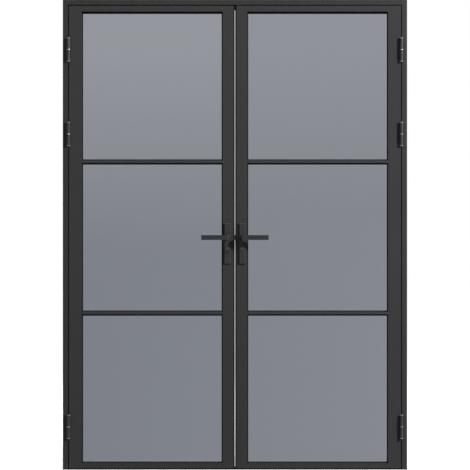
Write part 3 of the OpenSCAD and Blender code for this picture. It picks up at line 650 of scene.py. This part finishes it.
def glazing_lips(side):
    """Rubber lips where the gaskets meet the glass, on both faces of each bay, and in front a
    black rubber wedge under the top edge, partly a seal and partly painted shadow under the bar
    or rail above. The wedges differ by bay."""
    radius, thick, foot_thick = 1.1 * MM, 3.0 * MM, 1.2 * MM
    # Wedge depths, bottom bay first: painted shadow under the lower bar, the upper bar and the
    # top rail.
    wedge_and_shadow_drops = (2.9 * MM, 3.1 * MM, 5.3 * MM)
    edge, front = GASKET_SIGHT - 0.5 * radius, -GLASS_HALF
    x0, x1 = BAY_X
    parts = []
    for (z0, z1), drop in zip(BAY_Z, wedge_and_shadow_drops):
        for out in (-1, 1):
            parts.append(lip_around(x0 + edge, x1 - edge, z0 + edge, z1 - edge, radius, out))
        top = z1 - GASKET_SIGHT
        foot = top - drop
        wedge = [(front, foot), (front, top), (front - thick, top),
                 (front - thick, top - 0.3 * drop), (front - foot_thick, foot)]
        parts.append(strip_along_x(wedge, x0 + GASKET_SIGHT, x1 - GASKET_SIGHT))
    new_piece(side + "_glazing_lips", on_side(side, joined(*parts)), GASKET_RUBBER,
              side + "_leaf")


hinge_screws()
edge_screws()
handle_details()
frame_details()
glazing_lips("left")
glazing_lips("right")


# Stage, light and camera

WHITE = (1, 1, 1, 1)
ROOM_LIGHT = 0.05  # strength of the world on the door itself
ROOM_BEHIND_CAMERA = 0.15


def room_in_mirrors(tree, y):
    """What a mirror ray sees by its Y: the darker room up to -0.35, and white from 0.25 on."""
    return fitted(tree, y, -0.35, 0.25, ROOM_BEHIND_CAMERA, 1.0)


def white_world():
    """World that looks white to camera and glass rays and lights the door plainly. A mirror ray
    sees white behind the door and the darker room in front of it, by its direction along Y."""
    world = bpy.data.worlds.new("white_room")
    bpy.context.scene.world = world
    world.use_nodes = True
    tree = world.node_tree
    tree.nodes.clear()
    path = tree.nodes.new("ShaderNodeLightPath").outputs
    way = parts_of(tree, tree.nodes.new("ShaderNodeTexCoord").outputs["Generated"])
    seen = maths(tree, "MAXIMUM", path["Is Camera Ray"], path["Is Transmission Ray"])
    dim, gloss, white = [
        wire(tree, "Background", {"Color": WHITE, "Strength": strength}).outputs[0]
        for strength in (ROOM_LIGHT, room_in_mirrors(tree, way["Y"]), 1.0)]
    lit = wire(tree, "MixShader", {0: path["Is Glossy Ray"], 1: dim, 2: gloss}).outputs[0]
    shown = wire(tree, "MixShader", {0: seen, 1: lit, 2: white}).outputs[0]
    wire(tree, "OutputWorld", {"Surface": shown})


def white_floor(half_side):
    """Pale floor that keeps the door's shadow and melts into the white room: its glow grows to
    white from near_reach to far_reach around the door."""
    near_reach, far_reach, near_glow = 1.5, 7.0, 0.60
    mesh = bpy.data.meshes.new("floor")
    s = half_side
    mesh.from_pydata([(-s, -s, 0), (s, -s, 0), (s, s, 0), (-s, s, 0)], [], [(0, 1, 2, 3)])
    floor = bpy.data.objects.new("floor", mesh)
    bpy.context.scene.collection.objects.link(floor)
    made = bpy.data.materials.new("floor_white")
    made.use_nodes = True
    tree = made.node_tree
    tree.nodes.clear()
    path = tree.nodes.new("ShaderNodeLightPath").outputs
    place = tree.nodes.new("ShaderNodeTexCoord").outputs["Object"]
    reach = wire(tree, "VectorMath", {0: place}, operation="LENGTH").outputs["Value"]
    glow, gloss, white = [
        wire(tree, "Emission", {"Color": WHITE, "Strength": strength}).outputs[0]
        for strength in (fitted(tree, reach, near_reach, far_reach, near_glow, 1.0),
                         room_in_mirrors(tree, parts_of(tree, place)["Y"]), 1.0)]
    lit = wire(tree, "BsdfDiffuse", {"Color": (0.5, 0.5, 0.5, 1)}).outputs[0]
    shadowed = wire(tree, "AddShader", {0: lit, 1: glow}).outputs[0]
    shown = lit
    for key, look in (("Is Camera Ray", shadowed), ("Is Glossy Ray", gloss),
                      ("Is Transmission Ray", white)):
        shown = wire(tree, "MixShader", {0: path[key], 1: shown, 2: look}).outputs[0]
    wire(tree, "OutputMaterial", {"Surface": shown})
    mesh.materials.append(made)


def lamp(name, place, target, size, power, in_mirrors=True):
    """Square area lamp at a place, aimed at a target, and shown in mirror rays or not."""
    data = bpy.data.lights.new(name, "AREA")
    data.shape, data.size, data.energy = "SQUARE", size, power
    made = bpy.data.objects.new(name, data)
    made.location = place
    made.rotation_euler = (Vector(target) - Vector(place)).to_track_quat("-Z", "Y").to_euler()
    made.visible_camera = made.visible_transmission = False
    made.visible_glossy = in_mirrors
    bpy.context.scene.collection.objects.link(made)


# The photo is 470 pixels square. The door is 470.15 of them high, its foot is at row 469.68, so
# that its top edge lies just above the picture, and its middle is at column 234.95.
IMAGE_SIDE = 470
METRE_PER_PIXEL = cad_high.z / 470.15
DOOR_FOOT_ROW = 469.68
DOOR_MIDDLE_COLUMN = 234.95
CAMERA_DISTANCE = 13.0
SENSOR = 36
camera_data = bpy.data.cameras.new("camera")
camera_data.sensor_width = SENSOR
camera_data.lens = SENSOR * CAMERA_DISTANCE / (IMAGE_SIDE * METRE_PER_PIXEL)
camera = bpy.data.objects.new("camera", camera_data)
camera.location = ((IMAGE_SIDE / 2 - DOOR_MIDDLE_COLUMN) * METRE_PER_PIXEL,
                   LEAF_FRONT_Y - CAMERA_DISTANCE,
                   (DOOR_FOOT_ROW - IMAGE_SIDE / 2) * METRE_PER_PIXEL)
camera.rotation_euler = (math.pi / 2, 0, 0)
bpy.context.scene.collection.objects.link(camera)
bpy.context.scene.camera = camera
bpy.context.scene.view_settings.view_transform = "Standard"

white_world()
white_floor(half_side=40)
lamp("key_lamp", (5.7, -4.4, 4.3), target=(0, 0, 1.1), size=0.8, power=1150)
lamp("top_lamp", (-1.7, -2.6, 4.4), target=(-0.6, 0, 1.8), size=0.8, power=40)
lamp("fill_lamp", (-1.4, -3.4, 0.7), target=(0, 0, 0.2), size=1.6, power=12, in_mirrors=False)
lamp("back_lamp", (-3.4, 5.0, 3.6), target=(0, 0, 1.0), size=1.6, power=500, in_mirrors=False)
